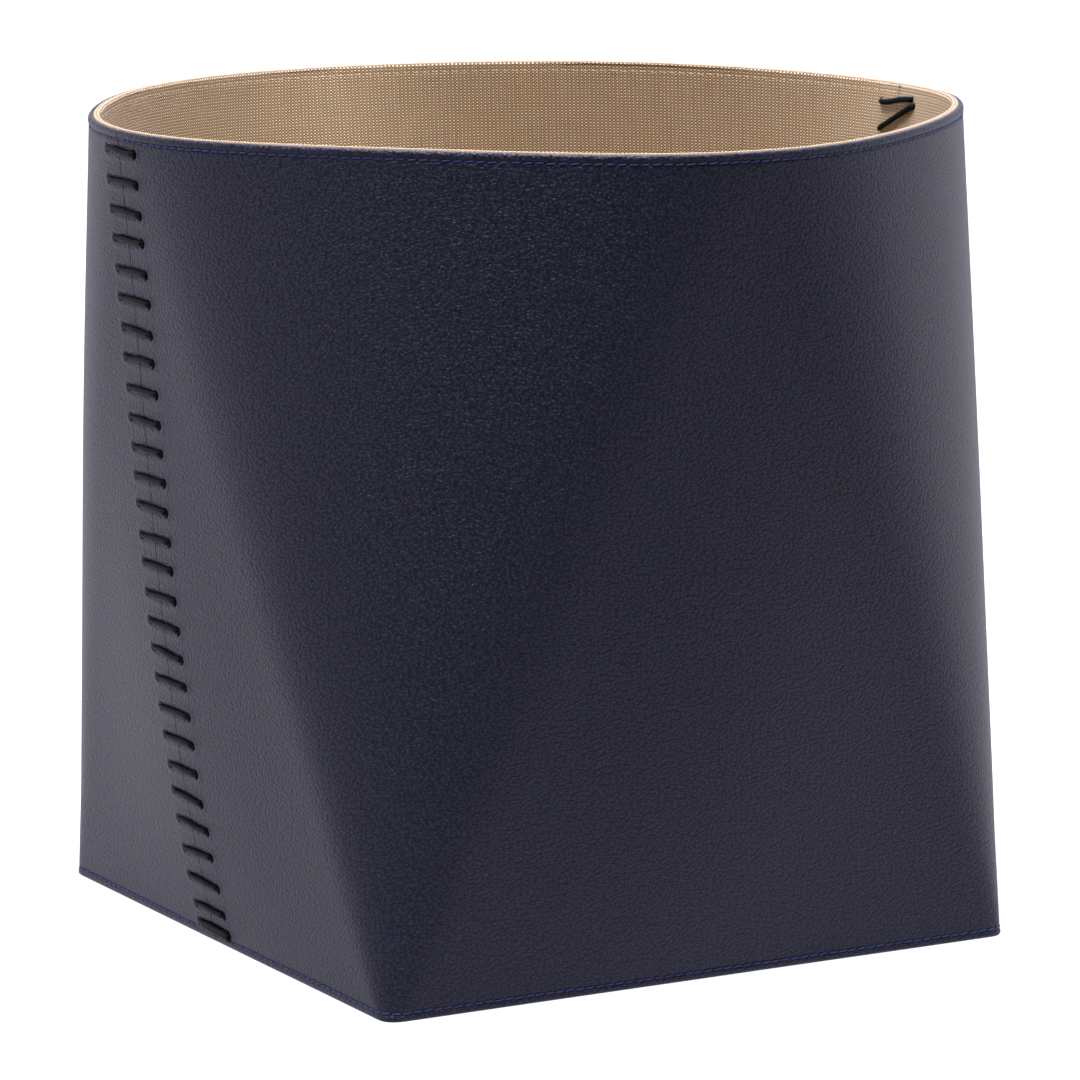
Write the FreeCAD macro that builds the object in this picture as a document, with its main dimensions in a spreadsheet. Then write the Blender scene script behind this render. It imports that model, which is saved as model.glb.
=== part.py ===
"""Soft storage bin: a square base, a round rim, leather outside, canvas inside.

The wall is a sandwich of leather, board and canvas. Its surface is ruled: it joins a
rounded square at the base to a nearly round rim with straight lines, so each of the
four faces keeps a flat triangle that narrows to a point at the rim. The wall is made
in two halves, front (-Y) and back (+Y), which meet edge to edge in the -X and +X
faces and are laced together there. Millimetres, +Z up, origin at the base's centre.
"""
import FreeCAD, Part
import Sketcher
import math
import os
from FreeCAD import Vector

doc = FreeCAD.newDocument("storage_bin")

# ---------------------------------------------------------------- driving dimensions
DIMENSIONS = [
    ("base_side", 257.0),            # outside width of the square base
    ("base_corner", 6.0),            # outside corner radius of the base
    ("bin_height", 300.0),
    ("rim_half_width", 165.0),       # centre to rim, over the middle of a face
    ("rim_half_diagonal", 156.5),    # centre to rim, over a corner of the base
    ("rim_side_radius", 119.0),      # bend of the rim over the middle of a face
    ("leather_thick", 1.4),
    ("board_thick", 2.0),
    ("lining_thick", 0.6),
    ("seam_gap", 0.3),               # between the two halves' edges
    ("seam_left_offset", 3.0),       # the left seam lies this far behind the face's middle
    ("seam_right_offset", 0.0),
    ("lace_diameter", 2.4),
    ("lace_bend", 1.6),              # radius of the lace's centre line where it turns into a hole
    ("lace_hole", 3.4),              # diameter
    ("lace_edge", 11.2),             # from the seam to the middle of a hole
    ("lace_slant", 0.4),             # a stitch's front end is this much lower than its back end
    ("lace_count", 28.0),            # stitches outside, down one seam
    ("lace_rim_margin", 7.7),        # first stitch to the rim
    ("lace_hem_margin", 5.8),        # last stitch to the bottom edge
    ("lace_last_gap", 7.0),          # last stitch to the one before
    ("lace_tail_gap", 3.45),         # the lace's start lies this far above the first front hole
    ("thread_width", 0.7),
    ("thread_proud", 0.2),           # how far a thread stands out of the surface it is sewn into
    ("thread_sunk", 0.3),
    ("rim_stitch_margin", 3.4),
    ("hem_stitch_margin", 3.0),
    ("base_recess", 0.6),            # the base's underside is this far above the wall's edge
    ("base_leather_thick", 1.2),
    ("base_board_thick", 2.0),
    ("base_clearance", 0.3),
    ("base_inner_corner", 4.0),
]

sheet = doc.addObject("Spreadsheet::Sheet", "Dimensions")
for row, (alias, value) in enumerate(DIMENSIONS, start=1):
    sheet.set(f"A{row}", alias)
    sheet.set(f"B{row}", str(value))
    sheet.setAlias(f"B{row}", alias)
doc.recompute()


def size(alias):
    return float(sheet.get(alias))


HEIGHT = size("bin_height")
BOARD_OUT = size("leather_thick")                # depth of the board's outer face
BOARD_IN = BOARD_OUT + size("board_thick")
LINING_IN = BOARD_IN + size("lining_thick")      # the wall's whole thickness
LACE_RADIUS = size("lace_diameter") / 2


# ---------------------------------------------------------------- the ruled wall surface
def rim_arcs(depth):
    """Centres, radii and joining angle of the rim's two kinds of arc, depth inside it."""
    half_width = size("rim_half_width")
    half_diagonal = size("rim_half_diagonal")
    side_radius = size("rim_side_radius")
    side_centre = half_width - side_radius
    reach = half_diagonal - side_radius
    corner_centre = (reach**2 - side_centre**2) / (2 * reach - math.sqrt(2) * side_centre)
    across = corner_centre * math.sqrt(0.5)
    angle = math.atan2(-across, side_centre - across)
    corner_radius = half_diagonal - corner_centre
    return side_centre, side_radius - depth, across, corner_radius - depth, angle


def arc(centre, radius, start, end):
    points = [
        centre + Vector(radius * math.cos(a), radius * math.sin(a), 0)
        for a in (start, (start + end) / 2, end)
    ]
    return Part.Arc(*points).toShape()


def quarter_edges(depth):
    """The base's and the rim's matching arcs over the +X +Y corner."""
    corner = size("base_side") / 2 - size("base_corner")
    base_radius = size("base_corner") - depth
    side_centre, side_radius, across, corner_radius, angle = rim_arcs(depth)
    bends = [0, angle, math.pi / 2 - angle, math.pi / 2]
    rim_centres = [
        (Vector(side_centre, 0, HEIGHT), side_radius),
        (Vector(across, across, HEIGHT), corner_radius),
        (Vector(0, side_centre, HEIGHT), side_radius),
    ]
    base_centre = Vector(corner, corner, 0)
    pairs = []
    for start, end, (rim_centre, rim_radius) in zip(bends, bends[1:], rim_centres):
        base_arc = arc(base_centre, base_radius, start, end)
        rim_arc = arc(rim_centre, rim_radius, start, end)
        pairs.append((base_arc, rim_arc))
    return pairs


def envelope(depth):
    """The solid inside the wall surface that lies depth inside the leather's face."""
    base_edges = []
    rim_edges = []
    faces = []
    for quarter in range(4):
        turn = FreeCAD.Placement(Vector(), FreeCAD.Rotation(Vector(0, 0, 1), 90 * quarter))
        for base_arc, rim_arc in quarter_edges(depth):
            base_arc.transformShape(turn.toMatrix())
            rim_arc.transformShape(turn.toMatrix())
            faces.append(Part.makeRuledSurface(base_arc, rim_arc))
            base_edges.append(base_arc)
            rim_edges.append(rim_arc)
        corner = size("base_side") / 2 - size("base_corner")
        side = size("base_side") / 2 - depth
        apex = Vector(size("rim_half_width") - depth, 0, HEIGHT)
        low, high = Vector(side, -corner, 0), Vector(side, corner, 0)
        triangle = [turn.multVec(point) for point in (low, high, apex)]
        faces.append(Part.Face(Part.makePolygon(triangle + triangle[:1])))
        base_edges.append(Part.makeLine(triangle[0], triangle[1]))
    faces.append(Part.Face(Part.Wire(Part.__sortEdges__(base_edges))))
    faces.append(Part.Face(Part.Wire(Part.__sortEdges__(rim_edges))))
    shell = Part.makeShell(faces)
    shell.sewShape()
    solid = Part.makeSolid(shell)
    if solid.Volume < 0:
        solid.reverse()
    return solid


def wall_x(y, z, depth=0.0):
    """Distance of the wall from the YZ plane at (y, z), near the middle of an X face."""
    part_way = z / HEIGHT
    corner = size("base_side") / 2 - size("base_corner")
    flat = (1 - part_way) * corner
    base_radius = size("base_corner") - depth
    rim_radius = size("rim_side_radius") - depth
    radius = (1 - part_way) * base_radius + part_way * rim_radius
    middle = (1 - part_way) * (size("base_side") / 2) + part_way * size("rim_half_width") - depth
    bent = max(abs(y) - flat, 0.0)
    return middle - radius + math.sqrt(radius**2 - bent**2)


# ---------------------------------------------------------------- construction helpers
def shape_object(name, shape):
    item = doc.addObject("Part::Feature", name)
    item.Shape = shape
    return item


def boolean(kind, name, base, tool):
    item = doc.addObject("Part::" + kind, name)
    item.Base = base
    item.Tool = tool
    return item


def bound_box(name, length, width, height, position):
    """A box whose sizes and corner are expressions of the sheet."""
    item = doc.addObject("Part::Box", name)
    for field, formula in zip(("Length", "Width", "Height"), (length, width, height)):
        item.setExpression(field, formula)
    for axis, formula in zip("xyz", position):
        item.setExpression("Placement.Base." + axis, formula)
    return item


S = "Dimensions."
REACH_FORMULA = f"2 * {S}rim_half_width"            # a length that passes the whole bin
DEPTHS = {
    "thread_outer": -size("thread_proud"),
    "leather_face": 0.0,
    "thread_inner": size("thread_sunk"),
    "board_face": BOARD_OUT,
    "board_back": BOARD_IN,
    "bobbin_outer": LINING_IN - size("thread_sunk"),
    "lining_face": LINING_IN,
}
surfaces = {name: shape_object("inside_" + name, envelope(depth)) for name, depth in DEPTHS.items()}


def layer(name, outer, inner):
    return boolean("Cut", name, surfaces[outer], surfaces[inner])


def half_space(name, direction):
    """Everything in front of (-1) or behind (+1) the two seams, as two joined boxes."""
    boxes = []
    for side, along in (("left", -1), ("right", 1)):
        gap = f"{S}seam_{side}_offset + {direction} * {S}seam_gap / 2"
        low_y = gap if direction > 0 else f"{gap} - {REACH_FORMULA}"
        low_x = f"-{REACH_FORMULA}" if along < 0 else "0"
        corner = (low_x, low_y, f"-{S}bin_height / 2")
        boxes.append(
            bound_box(f"{name}_{side}", REACH_FORMULA, REACH_FORMULA, f"2 * {S}bin_height", corner)
        )
    return boolean("Fuse", name, boxes[0], boxes[1])


halves = {"front": half_space("front_space", -1), "back": half_space("back_space", 1)}


def slab(name, low, high):
    corner = (f"-{REACH_FORMULA}", f"-{REACH_FORMULA}", low)
    return bound_box(name, f"2 * {REACH_FORMULA}", f"2 * {REACH_FORMULA}", f"{high} - ({low})", corner)


# ---------------------------------------------------------------- the lacing
def stitch_heights():
    """Height of each stitch's middle, from the rim down; the last two are closer."""
    count = int(size("lace_count"))
    top = HEIGHT - size("lace_rim_margin")
    before_last = size("lace_hem_margin") + size("lace_last_gap")
    pitch = (top - before_last) / (count - 2)
    heights = [top - pitch * index for index in range(count - 1)]
    return heights + [size("lace_hem_margin")]


def seam_frame(side):
    """The seam's offset in Y, and the outward normal of its face (side is -1 or +1)."""
    offset = size("seam_left_offset") if side < 0 else size("seam_right_offset")
    lean = math.atan2(size("rim_half_width") - size("base_side") / 2, HEIGHT)
    return offset, Vector(side * math.cos(lean), 0, -math.sin(lean))


def hole_points(side):
    """For each stitch, where its front and back holes meet the leather's face."""
    offset, _ = seam_frame(side)
    slant = size("lace_slant") / 2
    pairs = []
    for height in stitch_heights():
        pair = []
        for direction in (-1, 1):
            y = offset + direction * size("lace_edge")
            z = height + direction * slant
            pair.append(Vector(side * wall_x(y, z), y, z))
        pairs.append(pair)
    return pairs


def hole_tools():
    """A cylinder through the wall at every lace hole."""
    tools = []
    for side in (-1, 1):
        _, normal = seam_frame(side)
        for pair in hole_points(side):
            for point in pair:
                start = point + normal * LINING_IN
                tools.append(Part.makeCylinder(size("lace_hole") / 2, 3 * LINING_IN, start, -normal))
    return tools


def tail_tools():
    """The small hole above each first front hole, through the lining and into the board."""
    tools = []
    for side in (-1, 1):
        _, normal = seam_frame(side)
        point = hole_points(side)[0][0] + Vector(0, 0, size("lace_tail_gap"))
        start = point - normal * (BOARD_OUT + size("board_thick") / 2)
        tools.append(Part.makeCylinder(size("lace_hole") / 2, 3 * LINING_IN, start, -normal))
    return tools


def lace_route(side):
    """Corner points of the lace, from its tucked start to its tucked end."""
    _, normal = seam_frame(side)
    pairs = hole_points(side)
    inside = -normal * (LINING_IN + LACE_RADIUS + size("thread_proud"))
    tail = pairs[0][0] + Vector(0, 0, size("lace_tail_gap"))
    tail_depth = -normal * (BOARD_OUT + size("board_thick") / 2 + size("thread_proud"))
    route = [tail + tail_depth, tail + inside]
    for index, (front, back) in enumerate(pairs):
        middle = (front + back) / 2
        rise = abs(wall_x(middle.y, middle.z)) - abs(middle.x)
        outside = normal * (LACE_RADIUS + size("thread_proud") / 2 + max(rise, 0))
        last = index == len(pairs) - 1
        end = -normal * BOARD_IN if last else inside
        route += [back + inside, back + outside, front + outside, front + end]
    return route


def rounded_path(route, radius):
    """Straight runs joined by tangent arcs of one radius, as one wire."""
    edges = []
    start = route[0]
    for before, corner, after in zip(route, route[1:], route[2:]):
        arriving = (corner - before).normalize()
        leaving = (after - corner).normalize()
        turn = arriving.getAngle(leaving)
        trim = radius * math.tan(turn / 2)
        arc_start = corner - arriving * trim
        arc_end = corner + leaving * trim
        bisector = (leaving - arriving).normalize()
        centre = corner + bisector * (radius / math.cos(turn / 2))
        edges.append(Part.makeLine(start, arc_start))
        edges.append(Part.Arc(arc_start, centre - bisector * radius, arc_end).toShape())
        start = arc_end
    edges.append(Part.makeLine(start, route[-1]))
    return Part.Wire(edges)


def lace(name, side):
    path = rounded_path(lace_route(side), size("lace_bend"))
    first = path.Edges[0]
    start = first.Vertexes[0].Point
    along = first.tangentAt(first.FirstParameter)
    section = Part.Wire(Part.makeCircle(LACE_RADIUS, start, along))
    shape = path.makePipeShell([section], True, False, 1)
    expected = math.pi * LACE_RADIUS**2 * path.Length
    print(f"{name}: length {path.Length:.1f} mm, volume {shape.Volume:.1f}, "
          f"section x length {expected:.1f}, least bend radius {size('lace_bend')}")
    if abs(shape.Volume / expected - 1) > 0.01:
        raise RuntimeError(name + " has the wrong volume")
    return shape_object(name, shape)


all_holes = shape_object("all_holes", Part.makeCompound(hole_tools() + tail_tools()))

# ---------------------------------------------------------------- stitching
top_thread_layer = layer("top_thread_layer", "thread_outer", "thread_inner")
bobbin_layer = layer("bobbin_layer", "bobbin_outer", "lining_face")
rows = {
    "rim": slab(
        "rim_row",
        f"{S}bin_height - {S}rim_stitch_margin - {S}thread_width / 2",
        f"{S}bin_height - {S}rim_stitch_margin + {S}thread_width / 2",
    ),
    "hem": slab(
        "hem_row",
        f"{S}hem_stitch_margin - {S}thread_width / 2",
        f"{S}hem_stitch_margin + {S}thread_width / 2",
    ),
}

subparts = []
top_rings = {}
bobbin_rings = {}
for row_name, row_slab in rows.items():
    top_rings[row_name] = boolean("Common", row_name + "_top_ring", top_thread_layer, row_slab)
    bobbin_rings[row_name] = boolean("Common", row_name + "_bobbin_ring", bobbin_layer, row_slab)
    for half_name, half in halves.items():
        for label, ring in (("stitching", top_rings), ("bobbin_thread", bobbin_rings)):
            name = f"{row_name}_{label}_{half_name}"
            uncut = boolean("Common", name + "_uncut", ring[row_name], half)
            subparts.append(boolean("Cut", name, uncut, all_holes))

# ---------------------------------------------------------------- wall layers
leather_ring = layer("leather_ring", "leather_face", "board_face")
board_ring = layer("board_ring", "board_face", "board_back")
turned_ring = layer("turned_ring", "board_face", "lining_face")
below_turn = slab("below_turn", f"-{S}bin_height", f"{S}bin_height - {S}lining_thick")
board_body = boolean("Common", "board_body", board_ring, below_turn)
lining_body = boolean("Cut", "lining_body", turned_ring, board_body)
top_grooves = boolean("Fuse", "top_grooves", top_rings["rim"], top_rings["hem"])
bobbin_grooves = boolean("Fuse", "bobbin_grooves", bobbin_rings["rim"], bobbin_rings["hem"])
leather_body = boolean("Cut", "leather_body", leather_ring, top_grooves)
sewn_lining = boolean("Cut", "sewn_lining", lining_body, bobbin_grooves)

wall_layers = {"leather_panel": leather_body, "wall_board": board_body, "lining": sewn_lining}
for label, body in wall_layers.items():
    for half_name, half in halves.items():
        name = f"{label}_{half_name}"
        uncut = boolean("Common", name + "_uncut", body, half)
        subparts.append(boolean("Cut", name, uncut, all_holes))

subparts.append(lace("seam_lace_left", -1))
subparts.append(lace("seam_lace_right", 1))

# ---------------------------------------------------------------- the base
WALL_FORMULA = f"({S}leather_thick + {S}board_thick + {S}lining_thick)"
BASE_FORMULA = f"({S}base_side - 2 * {WALL_FORMULA} - 2 * {S}base_clearance)"


def base_piece(name, thickness, height):
    """A square pad with rounded corners that fills the floor of the bin."""
    body = doc.addObject("PartDesign::Body", name)
    plane = next(f for f in body.Origin.OriginFeatures if f.Role == "XY_Plane")
    sketch = body.newObject("Sketcher::SketchObject", name + "_outline")
    sketch.AttachmentSupport = [(plane, "")]
    sketch.MapMode = "FlatFace"
    half = size("base_side") / 2 - LINING_IN - size("base_clearance")
    corners = [Vector(x * half, y * half, 0) for x, y in ((-1, -1), (1, -1), (1, 1), (-1, 1))]
    for start, end in zip(corners, corners[1:] + corners[:1]):
        sketch.addGeometry(Part.LineSegment(start, end), False)
    for line in range(4):
        following = (line + 1) % 4
        sketch.addConstraint(Sketcher.Constraint("Coincident", line, 2, following, 1))
        direction = "Horizontal" if line % 2 == 0 else "Vertical"
        sketch.addConstraint(Sketcher.Constraint(direction, line))
    sketch.addConstraint(Sketcher.Constraint("Symmetric", 0, 1, 1, 2, -1, 1))
    across = sketch.addConstraint(Sketcher.Constraint("DistanceX", 0, 1, 0, 2, 2 * half))
    along = sketch.addConstraint(Sketcher.Constraint("DistanceY", 1, 1, 1, 2, 2 * half))
    for index in (across, along):
        sketch.setExpression(f"Constraints[{index}]", BASE_FORMULA)
    pad = body.newObject("PartDesign::Pad", name + "_pad")
    pad.Profile = sketch
    pad.setExpression("Length", thickness)
    doc.recompute()
    upright = [
        f"Edge{number}"
        for number, edge in enumerate(pad.Shape.Edges, start=1)
        if abs(edge.Vertexes[0].Z - edge.Vertexes[-1].Z) > 0.1
    ]
    rounding = body.newObject("PartDesign::Fillet", name + "_rounding")
    rounding.Base = (pad, upright)
    rounding.setExpression("Radius", f"{S}base_inner_corner")
    body.Tip = rounding
    body.setExpression("Placement.Base.z", height)
    return body


LEATHER_TOP = f"{S}base_recess + {S}base_leather_thick"
BOARD_TOP = f"{LEATHER_TOP} + {S}base_board_thick"
subparts.append(base_piece("base_leather", f"{S}base_leather_thick", f"{S}base_recess"))
subparts.append(base_piece("base_board", f"{S}base_board_thick", LEATHER_TOP))
subparts.append(base_piece("base_lining", f"{S}lining_thick", BOARD_TOP))

# ---------------------------------------------------------------- check and write
doc.recompute()
for item in doc.Objects:
    if "Invalid" in item.State or "Error" in item.State:
        raise RuntimeError(item.Name + " failed")
os.makedirs("parts", exist_ok=True)
for item in subparts:
    item.Label = item.Name
    shape = item.Shape
    if shape.isNull() or not shape.isValid() or not shape.Solids:
        raise RuntimeError(item.Label + " has no valid solid")
    print(f"{item.Label}: {len(shape.Solids)} solids, {shape.Volume:.0f} mm3")
    shape.exportStep(f"parts/{item.Label}.step")
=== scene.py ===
"""Looks of the storage bin: grained leather, laced seams, topstitching and canvas lining.

Lengths are metres. A place on the wall is given by s, the way round the wall
anticlockwise from the middle of the +X face, by z, the height, and by lift, how far it
stands out of the leather's face.
"""
import math

import bpy
import numpy as np
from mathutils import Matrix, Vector


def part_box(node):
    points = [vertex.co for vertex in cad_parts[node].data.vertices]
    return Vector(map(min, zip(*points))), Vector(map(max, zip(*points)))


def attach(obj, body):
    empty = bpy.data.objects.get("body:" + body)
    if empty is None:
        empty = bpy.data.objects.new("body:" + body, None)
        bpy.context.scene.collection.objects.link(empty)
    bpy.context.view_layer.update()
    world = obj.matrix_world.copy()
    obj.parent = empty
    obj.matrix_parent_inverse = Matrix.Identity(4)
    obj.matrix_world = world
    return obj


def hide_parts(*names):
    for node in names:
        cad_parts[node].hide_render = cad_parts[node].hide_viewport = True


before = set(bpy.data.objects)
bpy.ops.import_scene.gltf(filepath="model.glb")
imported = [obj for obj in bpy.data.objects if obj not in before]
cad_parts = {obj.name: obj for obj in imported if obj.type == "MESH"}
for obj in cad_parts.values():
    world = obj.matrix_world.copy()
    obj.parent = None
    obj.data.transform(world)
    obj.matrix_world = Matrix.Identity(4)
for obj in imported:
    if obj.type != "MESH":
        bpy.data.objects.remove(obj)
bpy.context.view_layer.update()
MM = 0.001

# ------------------------------------------------------------------ sizes from the frame
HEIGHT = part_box("leather_panel_front")[1].z
RIM_HALF = -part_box("leather_panel_front")[0].y
LEATHER, BOARD, LINING = 1.4 * MM, 2.0 * MM, 0.6 * MM
BOARD_BACK = LEATHER + BOARD
WALL = BOARD_BACK + LINING
BASE_CLEARANCE = 0.3 * MM
BASE_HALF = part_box("base_board")[1].x + BASE_CLEARANCE + WALL
BASE_CORNER = 6.0 * MM
RIM_DIAGONAL = 156.5 * MM
RIM_SIDE_RADIUS = 119.0 * MM
RIM_WAVE = 0.65 * MM             # the rim is this much lower over a face, higher over a corner
FACE_BULGE = 40.5 * MM           # the faces swell 0.148 of this, a third of the way up
RIM_DROP = 0.25 * MM             # the leather's cut edge lies this far below the canvas roll
LEATHER_GAP = 0.08 * MM          # the laced leather edges are pulled together
LINING_GAP = 0.3 * MM
BOARD_GAP = 0.01 * MM            # the boards meet behind the seams, so no light comes through
LEFT_SEAM_OFFSET = 3.0 * MM

LACE_WIDTH, LACE_DEPTH = 2.25 * MM, 1.7 * MM
REAR_NARROWING = 0.55            # a stitch starts this narrow where it is pulled tight
LACE_EDGE = 11.2 * MM            # from the seam to a hole
LACE_SLANT = 0.4 * MM
LACE_COUNT = 28
LACE_RIM_MARGIN, LACE_HEM_MARGIN, LACE_LAST_GAP = 7.7 * MM, 5.8 * MM, 7.0 * MM
HOLE_RADIUS = 1.45 * MM
RIM_STITCH, HEM_STITCH = HEIGHT - 3.4 * MM, 3.0 * MM
STITCH_PITCH = 4.0 * MM
THREAD_RADIUS, BOBBIN_RADIUS = 0.34 * MM, 0.22 * MM


# ------------------------------------------------------------------ the wall's surface
def rim_shape():
    """The corner arc's radius and the angle where it meets the side arc."""
    side_centre = RIM_HALF - RIM_SIDE_RADIUS
    reach = RIM_DIAGONAL - RIM_SIDE_RADIUS
    centre = (reach**2 - side_centre**2) / (2 * reach - math.sqrt(2) * side_centre)
    across = centre * math.sqrt(0.5)
    return RIM_DIAGONAL - centre, math.atan2(-across, side_centre - across)


RIM_CORNER_RADIUS, BEND_ANGLE = rim_shape()


def section(t):
    """Flat half width, side radius, corner radius and quarter length at height share t."""
    flat = (1 - t) * (BASE_HALF - BASE_CORNER)
    side = (1 - t) * BASE_CORNER + t * RIM_SIDE_RADIUS
    corner = (1 - t) * BASE_CORNER + t * RIM_CORNER_RADIUS
    quarter = 2 * flat + 2 * side * BEND_ANGLE + corner * (math.pi / 2 - 2 * BEND_ANGLE)
    return flat, side, corner, quarter


QUARTER = section(0.5)[3]        # a quarter of the way round the wall


def on_wall(s, z, lift):
    """Points at (s, z), lift outside the leather's face, as an array of x, y, z.

    Each is a mean of places along the ruled surface, so flat and bent parts flow together.
    """
    s, z, lift = np.broadcast_arrays(*(np.asarray(v, float) for v in (s, z, lift)))
    side = section(np.clip(z / HEIGHT, 0, 1.02))[1]
    step = np.minimum(7 * MM, 0.35 * side)
    beside = ruled_point(s - step, z, lift) + ruled_point(s + step, z, lift)
    return (beside + 2 * ruled_point(s, z, lift)) / 4


def ruled_point(s, z, lift):
    t = np.clip(z / HEIGHT, 0, 1.02)
    flat, side, corner, quarter = section(t)
    turn = np.floor(s / QUARTER)
    along = (s / QUARTER - turn) * quarter
    mirrored = along > quarter / 2
    along = np.where(mirrored, quarter - along, along)
    middle = (1 - t) * BASE_HALF + t * RIM_HALF
    side_angle = np.clip((along - flat) / side, 0, BEND_ANGLE)
    corner_angle = np.clip(along - flat - side * BEND_ANGLE, 0, None) / corner
    angle = side_angle + corner_angle
    centre_x = middle - side
    shift = side - corner
    corner_x = centre_x + shift * math.cos(BEND_ANGLE)
    corner_y = flat + shift * math.sin(BEND_ANGLE)
    past = corner_angle > 0
    x = np.where(past, corner_x + corner * np.cos(angle), centre_x + side * np.cos(angle))
    y = np.where(past, corner_y + corner * np.sin(angle), flat + side * np.sin(angle))
    y = np.where(along < flat, along, y)
    x = np.where(along < flat, middle, x)
    lift = lift + FACE_BULGE * t * (1 - t) ** 2 * np.cos(math.pi * along / quarter) ** 3
    x, y = x + lift * np.cos(angle), y + lift * np.sin(angle)
    x, y = np.where(mirrored, y, x), np.where(mirrored, x, y)
    spin = turn * math.pi / 2
    wave = 1 - RIM_WAVE / HEIGHT * np.cos(2 * math.pi * s / QUARTER)
    return np.stack(
        [x * np.cos(spin) - y * np.sin(spin), x * np.sin(spin) + y * np.cos(spin), z * wave], -1
    )


LEFT_SEAM = 2 * QUARTER - LEFT_SEAM_OFFSET
HALVES = {"back": (0.0, LEFT_SEAM), "front": (LEFT_SEAM, 4 * QUARTER)}


# ------------------------------------------------------------------ the lacing's plan
def lacing_plan(seed):
    """Offsets from the seam and heights of each stitch's rear and front holes."""
    draw = np.random.default_rng(seed)
    top = HEIGHT - LACE_RIM_MARGIN
    before_last = LACE_HEM_MARGIN + LACE_LAST_GAP
    heights = np.append(np.linspace(top, before_last, LACE_COUNT - 1), LACE_HEM_MARGIN)
    wobble = draw.normal(0, 0.35 * MM, (LACE_COUNT, 2))
    wobble[-1] = 0
    reach = LACE_EDGE + draw.normal(0, 0.3 * MM, (LACE_COUNT, 2))
    rear = np.stack([-reach[:, 0], heights + LACE_SLANT / 2 + wobble[:, 0]], -1)
    fore = np.stack([reach[:, 1], heights - LACE_SLANT / 2 + wobble[:, 1]], -1)
    sway = draw.uniform(-0.3, 0.3, LACE_COUNT) * MM
    return rear, fore, sway


# s runs towards -Y on the -X face and towards +Y on the +X face, so the front holes
# lie at larger s on the left seam and at smaller s on the right one.
SEAMS = {
    "left": {"s": LEFT_SEAM, "sign": 1, "plan": lacing_plan(7)},
    "right": {"s": 4 * QUARTER, "sign": -1, "plan": lacing_plan(19)},
}


def seam_marks(s, z):
    """Distances to the nearest lace hole and to the nearest lace stitch, over a grid."""
    hole = np.full(s.shape, 1.0)
    stitch = np.full(s.shape, 1.0)
    for seam in SEAMS.values():
        offset = (s - seam["s"] + 2 * QUARTER) % (4 * QUARTER) - 2 * QUARTER
        near = np.abs(offset) < 20 * MM
        if not near.any():
            continue
        u, v = offset[near] * seam["sign"], z[near]
        best_hole, best_stitch = hole[near], stitch[near]
        for rear, fore in zip(*seam["plan"][:2]):
            for point in (rear, fore):
                best_hole = np.minimum(best_hole, np.hypot(u - point[0], v - point[1]))
            way = fore - rear
            share = np.clip(((u - rear[0]) * way[0] + (v - rear[1]) * way[1]) / (way @ way), 0, 1)
            gap = np.hypot(u - rear[0] - share * way[0], v - rear[1] - share * way[1])
            best_stitch = np.minimum(best_stitch, gap)
        hole[near], stitch[near] = best_hole, best_stitch
    return hole, stitch


def soft_step(low, high, value):
    share = np.clip((value - low) / (high - low), 0, 1)
    return share * share * (3 - 2 * share)


def bell(distance, width):
    return np.exp(-((distance / width) ** 2))


def ripple(s, z, seed):
    """A slow, uneven swell between -1 and 1, as in handmade leatherwork."""
    draw = np.random.default_rng(seed)
    total = np.zeros(s.shape)
    for _ in range(7):
        turns = draw.integers(2, 12)
        rise = draw.uniform(-25, 25)
        total += np.sin(turns * s / QUARTER * math.pi / 2 + rise * z + draw.uniform(0, 6.3))
    return total / 7


# ------------------------------------------------------------------ mesh building
def mesh_object(name, points, faces, flats=None):
    """A mesh object; flats gives each point's place in the flat pattern, kept as a UV map."""
    mesh = bpy.data.meshes.new(name)
    mesh.from_pydata([tuple(p) for p in points], [], faces)
    mesh.update()
    if flats is not None:
        layer = mesh.uv_layers.new(name="flat")
        corners = np.empty(len(mesh.loops), np.int32)
        mesh.loops.foreach_get("vertex_index", corners)
        layer.data.foreach_set("uv", np.asarray(flats, np.float32)[corners].ravel())
    mesh.polygons.foreach_set("use_smooth", [True] * len(mesh.polygons))
    item = bpy.data.objects.new(name, mesh)
    bpy.context.scene.collection.objects.link(item)
    return item


def steps(start, end, length):
    return np.linspace(start, end, max(2, int(math.ceil((end - start) / length)) + 1))


def merged(*runs):
    """All the runs' values in order, each once."""
    values = np.unique(np.round(np.concatenate(runs), 7))
    return values[np.append(True, np.diff(values) > 0.05 * MM)]


STRIP = 17 * MM                  # width of the finely meshed strip beside a seam
EDGE_ZONE = 6 * MM


def panel_columns(start, end):
    """Places round the wall: fine beside the seams, closer at the base's corners."""
    corners = [s for s in (QUARTER * (k + 0.5) for k in range(4)) if start < s < end]
    runs = [steps(start, start + STRIP, 0.5 * MM), steps(end - STRIP, end, 0.5 * MM)]
    at = start + STRIP
    for corner in corners:
        runs.append(steps(at, corner - 14 * MM, 2.8 * MM))
        runs.append(steps(corner - 14 * MM, corner + 14 * MM, 1.0 * MM))
        at = corner + 14 * MM
    runs.append(steps(at, end - STRIP, 2.8 * MM))
    return merged(*runs)


def panel_rows(low, high):
    """Coarse rows, which are fine near both edges, and the fine rows between them."""
    coarse = merged(
        steps(low, low + EDGE_ZONE, 0.4 * MM),
        steps(low + EDGE_ZONE, high - EDGE_ZONE, 4 * MM),
        steps(high - EDGE_ZONE, high, 0.33 * MM),
    )
    fine = [coarse[:1]]
    for below, above in zip(coarse, coarse[1:]):
        fine.append(steps(below, above, 0.52 * MM)[1:])
    return coarse, np.concatenate(fine)


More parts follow.
